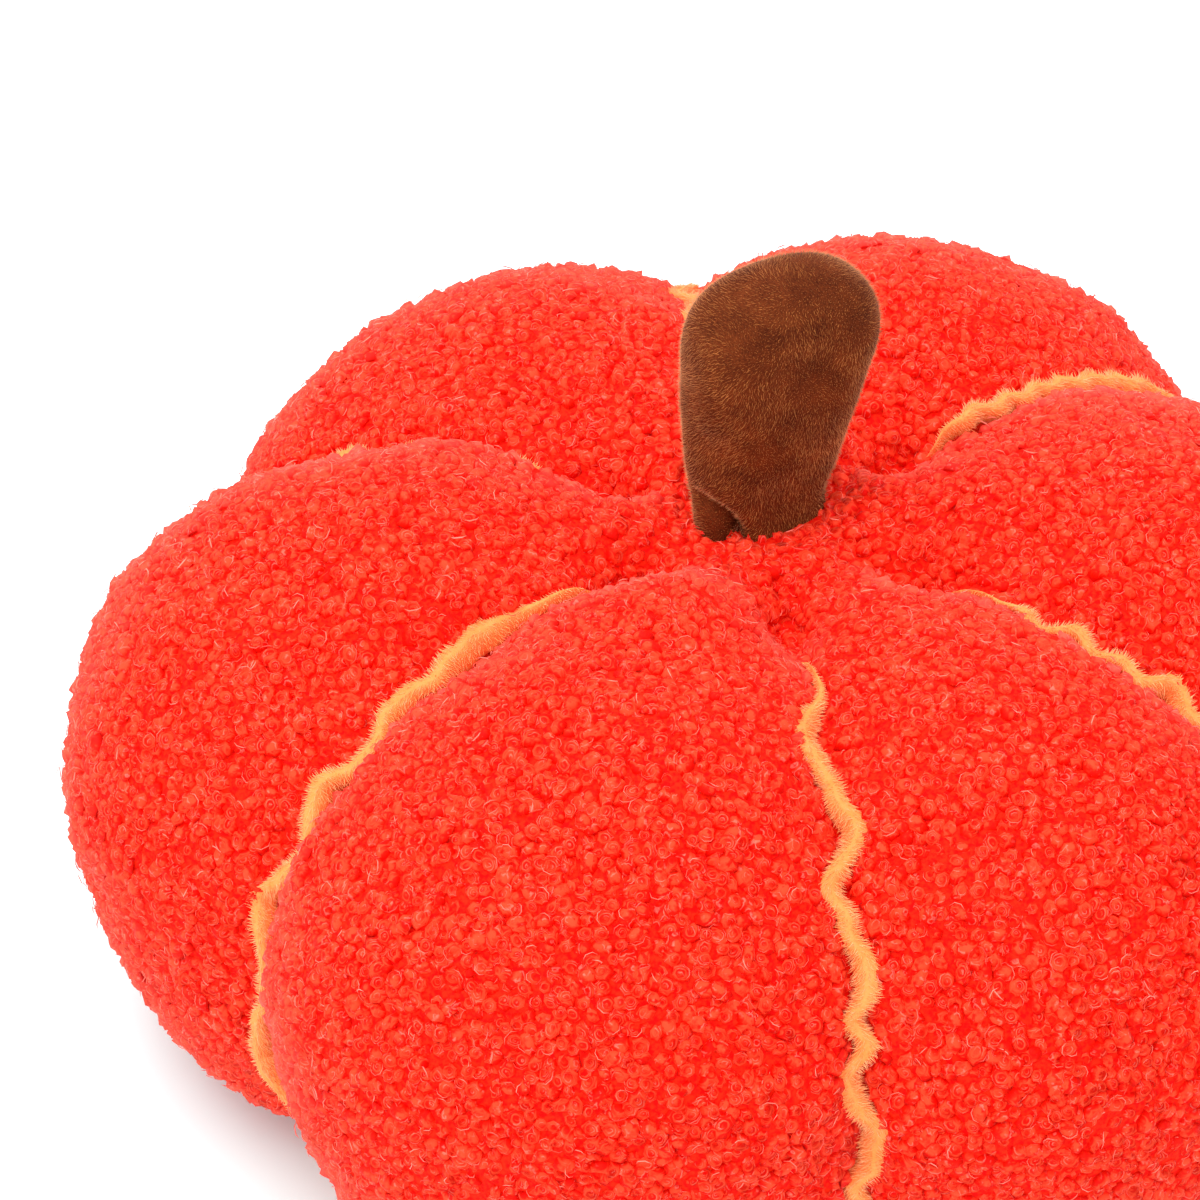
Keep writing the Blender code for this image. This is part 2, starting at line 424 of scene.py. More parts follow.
@dataclass(frozen=True)
class Scatter:
    """Points strewn evenly over a surface, no two nearer than a set distance."""

    spacing: float
    seed: int
    tries: float = 6.0

    def over(self, surface: Object) -> tuple[np.ndarray, np.ndarray]:
        """Strew the points.

        Args:
            surface: the mesh piece that carries them.

        Returns:
            The points' places and the surface's outward directions there.
        """
        group = bpy.data.node_groups.new("strewn", "GeometryNodeTree")
        group.interface.new_socket("Geometry", in_out="INPUT", socket_type="NodeSocketGeometry")
        group.interface.new_socket("Geometry", in_out="OUTPUT", socket_type="NodeSocketGeometry")
        start = add_node(group, "NodeGroupInput")
        strewn = add_node(group, "GeometryNodeDistributePointsOnFaces", {
            "Mesh": start.outputs[0], "Distance Min": self.spacing,
            "Density Max": self.tries / self.spacing ** 2, "Seed": self.seed,
        }, distribute_method="POISSON")
        points = add_node(group, "GeometryNodePointsToVertices", {"Points": strewn.outputs[0]})
        stored = add_node(group, "GeometryNodeStoreNamedAttribute", {
            "Geometry": points.outputs[0], "Name": "outward", "Value": strewn.outputs["Normal"],
        }, data_type="FLOAT_VECTOR", domain="POINT")
        add_node(group, "NodeGroupOutput", {0: stored.outputs[0]})
        carrier = bpy.data.objects.new("carrier", surface.data)
        bpy.context.scene.collection.objects.link(carrier)
        carrier.modifiers.new("strewn", "NODES").node_group = group
        mesh = carrier.evaluated_get(bpy.context.evaluated_depsgraph_get()).to_mesh()
        places = read_rows(mesh.vertices, "co")
        outward = unit(read_rows(mesh.attributes["outward"].data, "vector"))
        bpy.data.objects.remove(carrier, do_unlink=True)
        bpy.data.node_groups.remove(group)
        return places, outward


@dataclass(frozen=True)
class Shape:
    """One small shape as arrays, modelled once and then copied many times."""

    points: np.ndarray
    triangles: np.ndarray
    rounded: bool = True

    def sides(self) -> np.ndarray:
        """Tell which triangles are shaded smooth: none, or all but a flat underside."""
        corners = self.points[self.triangles]
        across = np.cross(corners[:, 1] - corners[:, 0], corners[:, 2] - corners[:, 0])
        return (unit(across)[:, 2] > -0.8) & self.rounded

    @classmethod
    def taken_from(cls, piece: Object, rounded: bool = True) -> "Shape":
        """Turn a small modelled piece's faces outwards, take its arrays and remove the piece.

        Args:
            piece: the object that was modelled.
            rounded: whether its sides are shaded smooth.

        Returns:
            Its points and triangles.
        """
        select_only(piece)
        bpy.ops.object.mode_set(mode="EDIT")
        bpy.ops.mesh.select_all(action="SELECT")
        bpy.ops.mesh.normals_make_consistent(inside=False)
        bpy.ops.object.mode_set(mode="OBJECT")
        apply_modifier(piece, "TRIANGULATE")
        corners = np.empty(len(piece.data.polygons) * 3, np.int32)
        piece.data.polygons.foreach_get("vertices", corners)
        triangles = corners.reshape(-1, 3)
        # An extrusion leaves its faces in no set order, so they are sorted
        shape = cls(read_points(piece), triangles[np.lexsort(triangles.T)], rounded)
        bpy.data.objects.remove(piece, do_unlink=True)
        return shape


@dataclass
class Copies:
    """Many turned and scaled copies of small shapes, gathered for one mesh."""

    total: int = 0

    def __post_init__(self) -> None:
        """Start with nothing gathered."""
        self.gathered: list[tuple[np.ndarray, ...]] = []

    def add(self, shape: Shape, where: np.ndarray, axes: np.ndarray, scales: np.ndarray,
            tones: np.ndarray, outward: np.ndarray) -> None:
        """Add one copy of a shape at each place.

        Args:
            shape: the small shape.
            where: places as rows.
            axes: a turning matrix for each place.
            scales: sizes along the shape's x, y and z for each place.
            tones: a number from 0 to 1 for each place, which varies the colour.
            outward: the direction of the cloth at each place.
        """
        count = len(where)
        size = len(shape.points)
        moved = np.einsum("nij,nkj->nki", axes, shape.points[None] * scales[:, None, :])
        shift = (np.arange(count) * size)[:, None, None]
        self.gathered.append((
            (moved + where[:, None, :]).reshape(-1, 3),
            (shape.triangles[None] + shift).reshape(-1, 3) + self.total,
            np.tile(shape.sides(), count),
            np.tile(shape.points, (count, 1)),
            np.repeat(outward, size, axis=0),
            np.repeat(tones, size),
        ))
        self.total += count * size

    def write(self, name: str) -> Object:
        """Make the gathered copies one piece.

        Args:
            name: the piece's name.

        Returns:
            The piece, smooth but for the undersides, with attributes pile_place, pile_tone
            and pile_out.
        """
        points, corners, smooth, places, outward, tones = (
            np.concatenate(column) for column in zip(*self.gathered))
        mesh = bpy.data.meshes.new(name)
        mesh.vertices.add(len(points))
        mesh.vertices.foreach_set("co", points.astype(np.float32).ravel())
        mesh.loops.add(corners.size)
        mesh.loops.foreach_set("vertex_index", corners.astype(np.int32).ravel())
        mesh.polygons.add(len(corners))
        mesh.polygons.foreach_set("loop_start", np.arange(0, corners.size, 3, dtype=np.int32))
        mesh.polygons.foreach_set("use_smooth", smooth)
        mesh.update(calc_edges=True)
        for label, kind, part, values in (("pile_place", "FLOAT_VECTOR", "vector", places),
                                          ("pile_out", "FLOAT_VECTOR", "vector", outward),
                                          ("pile_tone", "FLOAT", "value", tones)):
            stored = mesh.attributes.new(label, kind, "POINT")
            stored.data.foreach_set(part, values.astype(np.float32).ravel())
        piece = bpy.data.objects.new(name, mesh)
        bpy.context.scene.collection.objects.link(piece)
        return piece


def standing_axes(outward: np.ndarray, lean: float, rng: np.random.Generator) -> np.ndarray:
    """Return turning matrices that stand shapes on a surface, each with its own turn and lean.

    Args:
        outward: the surface's directions.
        lean: how far the shapes tilt off them, as a spread in radians.
        rng: the source of chance.

    Returns:
        One matrix for each direction, whose third column points out of the surface.
    """
    count = len(outward)
    up = unit(outward + rng.normal(0.0, lean, (count, 3)))
    side = rng.normal(0.0, 1.0, (count, 3))
    side = unit(side - up * np.sum(side * up, axis=1, keepdims=True))
    return np.stack([side, np.cross(up, side), up], axis=2)


# A curl's rim: its reach, its height and the share that it takes of the pit's shift
RIM_REACH = 0.64
RIM_HEIGHT = 0.86
RIM_SHIFT = 0.3
# How wide a curl's rim starts and how much wider it winds in one turn
RIM_START = 0.88
RIM_WIDENING = 0.24


class CurlForm(Enum):
    """The rolled curls of the fleece: pit height, pit shift, length and rise of each form.

    The rise is how far the rim climbs in one turn, so that a curl ends in a step like a shell.
    """

    BUN = (0.55, 0.20, 1.00, 0.15)
    COMMA = (0.66, -0.25, 1.25, 0.35)
    KNOB = (0.98, 0.10, 1.30, 0.20)
    RING = (0.38, 0.10, 0.95, 0.20)
    HOOK = (0.50, 0.30, 1.10, 0.50)

    def shape(self, sides: int) -> Shape:
        """Model one curl of this form, one unit in radius, standing at the origin.

        Args:
            sides: how many sides its outline has.

        Returns:
            The curl as a small shape.
        """
        pit, shift, length, rise = self.value
        bpy.ops.object.select_all(action="DESELECT")
        bpy.ops.mesh.primitive_circle_add(vertices=sides, radius=1.0, fill_type="NGON")
        curl = bpy.context.object
        bpy.ops.object.mode_set(mode="EDIT")
        bpy.ops.mesh.select_all(action="SELECT")
        top = (RIM_SHIFT * shift, 0, RIM_HEIGHT)
        bpy.ops.mesh.extrude_region_move(TRANSFORM_OT_translate={"value": top})
        bpy.ops.transform.resize(value=(RIM_REACH, RIM_REACH, 1.0), center_override=top)
        bpy.ops.mesh.poke()
        bpy.ops.object.mode_set(mode="OBJECT")
        points = read_points(curl)
        turn = np.arctan2(points[:, 1], points[:, 0]) / (2 * math.pi) % 1.0
        high = points[:, 2] > 0.1
        points[high, :2] *= (RIM_START + RIM_WIDENING * turn[high])[:, None]
        points[high, 2] *= 1.0 + rise * (turn[high] - 0.5)
        points[-1] = (shift, 0.0, pit)
        points[:, 0] *= length
        write_points(curl, points)
        return Shape.taken_from(curl)


def fibre_shape(drawn: float = 1.2) -> Shape:
    """Model one short plush fibre, one unit long.

    Args:
        drawn: how far its tip is drawn to one side, in radii of its foot.

    Returns:
        The fibre as a small shape.
    """
    bpy.ops.object.select_all(action="DESELECT")
    bpy.ops.mesh.primitive_cone_add(vertices=3, radius1=1.0, radius2=0.0, depth=1.0,
                                    location=(0.0, 0.0, 0.5))
    fibre = bpy.context.object
    bpy.ops.object.transform_apply(location=True, rotation=False, scale=False)
    points = read_points(fibre)
    points[points[:, 2] > 0.9] += (drawn, 0.0, 0.0)
    write_points(fibre, points)
    return Shape.taken_from(fibre, rounded=False)


def strand_shape(thick: float = 0.048, spread: float = 64.0, near: float = 0.36) -> Shape:
    """Model one loose strand of a curl: a thin arc of radius one, pointed at both ends.

    Args:
        thick: its radius.
        spread: how far it reaches to both sides, in degrees.
        near: where its full thickness ends, as a share of that.

    Returns:
        The strand as a small shape.
    """
    bpy.ops.object.select_all(action="DESELECT")
    bpy.ops.mesh.primitive_cylinder_add(vertices=3, radius=1.0, depth=2.0,
                                        end_fill_type="TRIFAN")
    strand = bpy.context.object
    points = read_points(strand)
    tips = np.hypot(points[:, 0], points[:, 1]) < 0.5
    bend = np.radians(spread) * np.sign(points[:, 2]) * np.where(tips, 1.0, near)
    out = 1.0 + thick * points[:, 0]
    write_points(strand, np.stack([out * np.cos(bend), out * np.sin(bend),
                                   thick * points[:, 1]], axis=1))
    return Shape.taken_from(strand, rounded=False)


@dataclass(frozen=True)
class CurlyFleece:
    """Curly polyester fleece: loops of fine fibre rolled into small curls, matt and soft.

    The colour paints deep red shade at the roots, over the fibres' own deeper red, and pale arcs
    round each curl as painted highlights where the fibres catch the light. A tone above one marks
    a loose strand, which is painted paler, as a highlight, the higher its tone is.
    """

    # Painted shade: root darkens each curl's foot, over the fibres' own deeper red; arc is a
    # painted highlight
    root: str = "#D90600"
    side: str = "#D91100"
    crown: str = "#F63F23"
    arc: str = "#F98C7C"
    # A painted glow in the fleece's own colour, which lifts the shade between the curls
    painted_glow: float = 0.07
    # Where the ramp of colours has the root, the side and the crown
    stops: tuple[float, float, float] = (0.12, 0.45, 0.95)
    arc_turns: float = 4.2
    arc_share: float = 0.45
    wander_mm: float = 2.4
    wander_turns: float = 1.8
    broken_mm: float = 1.6
    one_sided: float = 0.20
    rings: float = 5.0
    streak_contrast: float = 3.4
    streak_level: float = -1.56

    def material(self) -> bpy.types.Material:
        """Return the fleece's material."""
        graph = Graph("curly_red_fleece")
        place = graph.attribute("pile_place")
        tone = graph.attribute("pile_tone", "Fac")
        reach = graph.vectors("LENGTH", place, out="Value")
        # Painted shade and the fibres' paler tips: the lower on a curl, the nearer its colour to
        # the root's
        height = graph.climb(graph.parts(place)[2], 0.25, 0.85, 0.50)
        streaks = graph.maths("MULTIPLY_ADD", self.fibres(graph, place, tone, reach),
                              self.streak_contrast, self.streak_level)
        depth = graph.maths("MULTIPLY_ADD", tone, 0.20, graph.maths("ADD", streaks, height))
        base = graph.ramp(depth, *zip(self.stops, (self.root, self.side, self.crown)))
        # Painted highlights: pale arcs round each curl, and the loose strands in full
        drawn = graph.mixed(self.arcs(graph, place, tone, reach), base, self.arc)
        # Painted sheen: the pale arc colour is mixed in where the curls are seen edge on
        colour = graph.mixed(graph.painted_rim_sheen(4.0, 0.25), drawn, self.arc)
        return graph.finished(colour, self.painted_glow, {
            "Roughness": 0.62, "Specular IOR Level": 0.08, "Sheen Weight": 0.03,
            "Sheen Roughness": 0.4, "Sheen Tint": srgb("#FF8A78")})

    def arcs(self, graph: Graph, place: Socket, tone: Socket, reach: Socket) -> Socket:
        """Draw the pale arcs that wind round each curl, painted highlights where its fibres catch
        the light.

        Args:
            graph: the material's nodes.
            place: the place within the curl.
            tone: the curl's tone.
            reach: the distance from the curl's middle.

        Returns:
            The share of the arcs' colour.
        """
        parts = graph.parts(place)
        angle = graph.maths("ARCTAN2", parts[1], parts[0])
        turn = graph.maths("DIVIDE", angle, 2 * math.pi)
        # Fibres wander about a millimetre off a true spiral
        wander = graph.noise(self.wander_mm * MM, 2.0)
        wound = graph.maths("MULTIPLY_ADD", wander, self.wander_turns, turn)
        phase = graph.maths("MULTIPLY_ADD", reach, self.arc_turns, wound)
        ridge = graph.climb(graph.maths("PINGPONG", phase, 0.5), 0.33, 0.5)
        # They show on one side of each curl, in broken stretches
        facing = graph.maths("MULTIPLY_ADD", tone, 2 * math.pi, angle)
        shown = graph.maths("MULTIPLY_ADD", graph.maths("COSINE", facing), self.one_sided,
                            graph.noise(self.broken_mm * MM, 1.0))
        whole = graph.maths("MULTIPLY", ridge, graph.climb(shown, 0.45, 0.68))
        faint = graph.maths("MULTIPLY", whole, self.arc_share)
        # Loose strands, with tones above one, take the painted highlight colour in full
        return graph.maths("MAXIMUM", faint, graph.climb(tone, 1.0, 2.0))

    def fibres(self, graph: Graph, place: Socket, tone: Socket, reach: Socket) -> Socket:
        """Draw the finer fibres, which run round each curl too.

        Args:
            graph: the material's nodes.
            place: the place within the curl.
            tone: the curl's tone.
            reach: the distance from the curl's middle.

        Returns:
            A share that is high on a fibre.
        """
        flat = graph.vectors("MULTIPLY", place, (0.7, 0.7, 0.0))
        deep = add_node(graph.tree, "ShaderNodeCombineXYZ", {2: reach}).outputs[0]
        ringed = graph.vectors("MULTIPLY_ADD", deep, (0.0, 0.0, self.rings), flat)
        return add_node(graph.tree, "ShaderNodeTexNoise", {
            "Vector": ringed, "W": tone, "Scale": 1.4, "Detail": 2.0},
            noise_dimensions="4D").outputs["Fac"]


@dataclass(frozen=True)
class FleeceBacking:
    """The knitted ground under the curls, seen only as red shade between them."""

    shade: str = "#CD0000"
    light: str = "#DA1F06"
    # A painted glow in the backing's own colour, which lifts the shade between the curls
    painted_glow: float = 0.25
    lumps_mm: float = 1.3

    def material(self) -> bpy.types.Material:
        """Return the backing's material."""
        graph = Graph("red_fleece_backing")
        lumps = graph.noise(self.lumps_mm * MM, 3.0)
        bump = add_node(graph.tree, "ShaderNodeBump", {
            "Strength": 0.7, "Distance": 0.5 * MM, "Height": lumps})
        colour = graph.ramp(lumps, (0.38, self.shade), (0.62, self.light))
        return graph.finished(colour, self.painted_glow, {
            "Roughness": 0.8, "Specular IOR Level": 0.1, "Normal": bump.outputs[0]})


@dataclass(frozen=True)
class ShortPlush:
    """Short-pile polyester plush, cut level: darker between the fibres, as painted shade, and pale
    at their tips.
    """

    name: str
    shade: str
    body: str
    tip: str
    # The rim colour is a painted sheen, mixed in where the pile is seen edge on, and it also tints
    # the real sheen
    rim: str
    painted_rim_share: float
    sheen: float
    mottle: float
    mottle_mm: float
    # A painted glow in the plush's own colour, which lifts its shade
    painted_glow: float
    # How much the grain, the fibre's own tone and the height on it lighten the colour;
    # the height paints shade at the fibres' roots
    grain: float = 0.35
    own: float = 0.30
    height: float = 0.28

    def material(self) -> bpy.types.Material:
        """Return the plush's material."""
        graph = Graph(self.name)
        depth = graph.maths("MULTIPLY_ADD", graph.noise(self.mottle_mm * MM, 3.0, 0.6),
                            self.mottle, 0.11 - 0.5 * self.mottle)
        for source, weight in (
            (graph.noise(0.5 * MM, 1.0), self.grain),
            (graph.attribute("pile_tone", "Fac"), self.own),
            # Painted shade at the roots: the lower on a fibre, the darker; the tips are paler
            (graph.parts(graph.attribute("pile_place"))[2], self.height),
        ):
            depth = graph.maths("MULTIPLY_ADD", source, weight, depth)
        base = graph.ramp(depth, (0.12, self.shade), (0.45, self.body), (0.85, self.tip))
        # Painted sheen: the rim colour is mixed in where the pile is seen edge on
        colour = graph.mixed(graph.painted_rim_sheen(2.2, self.painted_rim_share), base, self.rim)
        return graph.finished(colour, self.painted_glow, {
            "Roughness": 0.75, "Specular IOR Level": 0.06, "Sheen Weight": self.sheen,
            "Sheen Roughness": 0.35, "Sheen Tint": srgb(self.rim)})


# The trims' plush has a painted glow that lifts its shade, the stem's none; each rim colour is a
# painted sheen
TRIM_PLUSH = ShortPlush("orange_trim_plush", "#EE7F3C", "#EE9355", "#EEAA7B",
                        "#FFD8B0", 0.12, 0.05, 0.5, 3.0, 0.10)
STEM_PLUSH = ShortPlush("brown_stem_plush", "#320B02", "#743313", "#D68747",
                        "#DDA078", 0.62, 0.12, 0.38, 9.0, 0.0)


@dataclass(frozen=True)
class Pile:
    """A short brushed pile of fibres, which are a little uneven."""

    spacing: float
    length: float
    radius: float
    seed: int
    lean: float = 0.22
    rooted: float = 0.0002

    def stand(self, places: np.ndarray, outward: np.ndarray, lying: np.ndarray,
              shares: np.ndarray | float, rng: np.random.Generator, name: str) -> Object:
        """Stand the fibres.

        Args:
            places: the roots of the fibres.
            outward: the cloth's directions there.
            lying: the ways the fibres lie.
            shares: the fibres' lengths as shares of a full one.
            rng: the source of chance.
            name: the new piece's name.

        Returns:
            The pile as one piece.
        """
        count = len(places)
        length = self.length * rng.uniform(0.6, 1.1, count) * shares
        thick = self.radius * rng.uniform(0.8, 1.2, count)
        fibres = Copies()
        fibres.add(fibre_shape(), places - outward * self.rooted,
                   standing_axes(lying, self.lean, rng), np.stack([thick, thick, length], axis=1),
                   rng.uniform(0.0, 1.0, count), outward)
        return fibres.write(name)


@dataclass(frozen=True)
class Dent:
    """A soft hollow in the stuffed stem, at a place on its surface."""

    place: tuple[float, float, float]
    radius: float
    depth: float


@dataclass(frozen=True)
class Swell:
    """A place where the filling pushes the body out a little further."""

    place: tuple[float, float, float]
    radius: float
    push: tuple[float, float, float]


SWELLS = (
    Swell((-0.124, -0.070, 0.022), 0.030, (-0.0050, -0.0074, -0.0024)),
    Swell((-0.190, -0.010, 0.085), 0.060, (-0.0030, 0.0, 0.0)),
    Swell((0.112, 0.118, 0.135), 0.045, (0.0042, 0.0036, 0.0030)),
    Swell((-0.030, -0.048, 0.165), 0.026, (-0.0010, 0.0, 0.0095)),
)


def swelled(places: np.ndarray) -> np.ndarray:
    """Move places of the body or a trim along where the filling pushes out.

    Args:
        places: places as rows.

    Returns:
        The moved places.
    """
    pushed = places.copy()
    for swell in SWELLS:
        away = np.linalg.norm(places - swell.place, axis=1) / swell.radius
        pushed += np.outer(np.exp(-away ** 2), swell.push)
    return pushed


@dataclass
class CushionBody:
    """The filled body: a puffed skin with a deep pile of curls over each lobe."""

    node: str = "cushion_body"
    pile_depth: float = 0.0028
    puff: Puff = Puff(voxel=0.005, pressure=4.0, cap=0.0022)
    seam_half: float = 0.0045
    # The grooves' walls are pressed in beside the trims, and more beside their tails
    closing: float = 0.0052
    tail_closing: float = 0.0022
    wall_off: float = 0.010
    wall_width: float = 0.0065
    wall_limit: float = 0.03
    closed_from: float = 0.050
    closed_fade: float = 0.02
    # The skin is held still at its seams, its soles and the well
    well: float = 0.034
    sole_rise: float = 0.001
    sole_fade: float = 0.004
    # The fleece swells up round the foot of the stem, most of all on the right
    foot_lift: float = 0.0060
    foot_slope: float = 0.1
    foot_reach: float = 0.042
    foot_fade: float = 0.014
    # Loose filling makes waves of these lengths
    waves: tuple[float, ...] = (0.090, 0.055, 0.034)
    unevenness: float = 0.00048
    spacing: float = 0.0030
    under_spacing: float = 0.0050
    # The underside is what is lower than this and looks down at least this steeply
    under_height: float = 0.05
    under_steepness: float = 0.55
    under_growth: float = 1.15
    # Curls shrink from full size within this distance of a trim, down to the least share
    elbow: float = 0.0016
    crowding: float = 0.0028
    least: float = 0.40
    curl_low: float = 0.0023
    curl_high: float = 0.0034
    sunk_low: float = 0.0008
    sunk_high: float = 0.0018
    lean: float = 0.30
    sides: int = 6
    strands: float = 0.80
    floor_gap: float = 0.0004

    def build(self, sewn: list["SeamTrim"], trims: KDTree) -> list[Object]:
        """Build the skin and the curls of each lobe.

        Args:
            sewn: the six trims.
            trims: the points of the six trims and the stem, which the curls leave room for.

        Returns:
            The skin, then one piece of curls for each lobe.
        """
        skin = self.build_skin(sewn)
        fleece = CurlyFleece().material()
        pieces = [skin]
        places, outward, sizes = self.strewn(skin, trims)
        shapes = [form.shape(self.sides) for form in CurlForm] + [strand_shape()]
        for number, lobe in enumerate(Lobe):
            chosen = lobe.holds(places)
            rng = np.random.default_rng(100 + number)
            piece = self.build_curls("curls_" + lobe.value[0], places[chosen], outward[chosen],
                                     sizes[chosen], shapes, rng)
            piece.data.materials.append(fleece)
            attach(piece, "root")
            pieces.append(piece)
        return pieces

    def build_skin(self, sewn: list["SeamTrim"]) -> Object:
        """Shrink a copy of the solid to the foot of the pile and puff it out.

        Args:
            sewn: the six trims.

        Returns:
            The skin of the filled body.
        """
        skin = copy_of_node(self.node, "body_skin")
        apply_modifier(skin, "DISPLACE", strength=-self.pile_depth, mid_level=0.0)
        apply_modifier(skin, "REMESH", mode="VOXEL", voxel_size=self.puff.voxel)
        bpy.ops.object.shade_smooth()
        self.close_seams(skin, sewn)
        self.puff.fill(skin, self.held(read_points(skin)))
        self.roughen(skin)
        skin.data.materials.append(FleeceBacking().material())
        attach(skin, "root")
        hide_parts(self.node)
        return skin

    def close_seams(self, skin: Object, sewn: list["SeamTrim"]) -> None:
        """Press the walls of each groove towards the trim that winds along in it.

        Args:
            skin: the body's skin.
            sewn: the six trims.
        """
        places = read_points(skin)
        for trim in sewn:
            beside = trim.seam.across(places)
            across = beside - trim.middle_at(places)
            share = np.exp(-((np.abs(across) - self.wall_off) / self.wall_width) ** 2)
            share[np.abs(beside) > self.wall_limit] = 0.0
            reach = np.hypot(places[:, 0], places[:, 1])
            share *= np.clip((reach - self.closed_from) / self.closed_fade, 0.0, 1.0)
            closing = self.closing + self.tail_closing * trim.tail_share(places)
            places -= np.outer(np.sign(across) * closing * share, trim.seam.side)
        places = swelled(places)
        places[:, 2] = np.maximum(places[:, 2], self.pile_depth * 0.6)
        reach = np.hypot(places[:, 0], places[:, 1] - 0.005)
        near = np.clip((self.foot_reach - reach) / self.foot_fade, 0.0, 1.0)
        lift = self.foot_lift + self.foot_slope * np.maximum(places[:, 0], 0.0)
        places[:, 2] += np.where(places[:, 2] > 0.1, near * lift, 0.0)
        write_points(skin, places)

    def held(self, places: np.ndarray) -> np.ndarray:
        """Return how firmly each point is held: fully at the seams and where it rests.

        Args:
            places: the skin's points.

        Returns:
            A share from 0 to 1 for each point.
        """
        nearest = np.min([np.abs(seam.across(places)) for seam in Seam], axis=0)
        held = np.clip(1.6 - nearest / self.seam_half, 0.0, 1.0)
        held[places[:, 2] < self.pile_depth + self.sole_rise] = 1.0
        held[np.hypot(places[:, 0], places[:, 1]) < self.well] = 1.0
        return held

    def roughen(self, skin: Object) -> None:
        """Push the skin in and out a little, as loose filling does.

        Args:
            skin: the body's skin.
        """
        places = read_points(skin)
        swell = np.zeros(len(places))
        rng = np.random.default_rng(11)
        for length in self.waves:
            for _ in range(4):
                run = unit(rng.normal(0.0, 1.0, 3)) * 2 * math.pi / length
                swell += np.sin(places @ run + rng.uniform(0, 2 * math.pi)) * length / self.waves[0]
        swell *= self.unevenness
        swell[places[:, 2] < self.pile_depth + self.sole_fade] = 0.0
        write_points(skin, places + read_normals(skin) * swell[:, None])

    def strewn(self, skin: Object, trims: KDTree) -> tuple[np.ndarray, np.ndarray, np.ndarray]:
        """Strew the curls, finer where they show and coarser underneath.

        Args:
            skin: the puffed skin.
            trims: the points that the curls leave room for.

        Returns:
            Places, outward directions and sizes as shares of a full curl.
        """
        kept = []
        for spacing, under, seed in ((self.spacing, False, 5), (self.under_spacing, True, 6)):
            places, outward = Scatter(spacing, seed).over(skin)
            below = ((outward[:, 2] < -self.under_steepness)
                     & (places[:, 2] < self.under_height))
            chosen = below if under else ~below
            grown = np.full(chosen.sum(), min(self.under_growth, spacing / self.spacing))
            kept.append((places[chosen], outward[chosen], grown))
        places, outward, sizes = (np.concatenate(column) for column in zip(*kept))
        room = np.array([trims.find(place)[2] for place in places])
        sizes *= np.clip((room + self.elbow) / self.crowding, 0.0, 1.0)
        free = sizes > self.least
        return places[free], outward[free], sizes[free]

    def build_curls(self, name: str, places: np.ndarray, outward: np.ndarray, sizes: np.ndarray,
                    shapes: list[Shape], rng: np.random.Generator) -> Object:
        """Build the curls that cover one lobe.

        Args:
            name: the new piece's name.
            places: where the curls stand.
            outward: the skin's directions there.
            sizes: each curl's size as a share of a full curl.
            shapes: the forms of curl, and the loose strand last.
            rng: the source of chance.

        Returns:
            One piece with all the lobe's curls.
        """
        count = len(places)
        radius = rng.uniform(self.curl_low, self.curl_high, count) * sizes
        sunk = places - outward * rng.uniform(self.sunk_low, self.sunk_high, count)[:, None]
        scales = np.stack([radius, radius * rng.uniform(0.75, 1.0, count),
                           radius * rng.uniform(0.85, 1.20, count)], axis=1)
        axes = standing_axes(outward, self.lean, rng)
        tones = rng.uniform(0.0, 1.0, count)
        form = rng.integers(0, len(shapes) - 1, count)
        curls = Copies()
        for index, shape in enumerate(shapes[:-1]):
            chosen = form == index
            curls.add(shape, sunk[chosen], axes[chosen], scales[chosen], tones[chosen],
                      outward[chosen])
        # Loose strands wind round the crowns of the curls
        shown = np.flatnonzero((outward[:, 2] > -0.5) & (sizes <= 1.0))
        carried = rng.choice(shown, int(len(shown) * self.strands))
        height = scales[carried, 2] * rng.uniform(0.70, 1.05, len(carried))
        wound = radius[carried] * rng.uniform(0.45, 0.90, len(carried))
        # Their tones above one make the fleece paint them in its pale highlight colour
        curls.add(shapes[-1], sunk[carried] + axes[carried, :, 2] * height[:, None],
                  standing_axes(axes[carried, :, 2], self.lean, rng),
                  np.stack([wound, wound, wound * rng.uniform(1.0, 1.6, len(carried))], axis=1),
                  rng.uniform(1.10, 1.9, len(carried)), outward[carried])
        piece = curls.write(name)
        points = read_points(piece)
        points[:, 2] = np.maximum(points[:, 2], self.floor_gap)
        write_points(piece, points)
        return piece


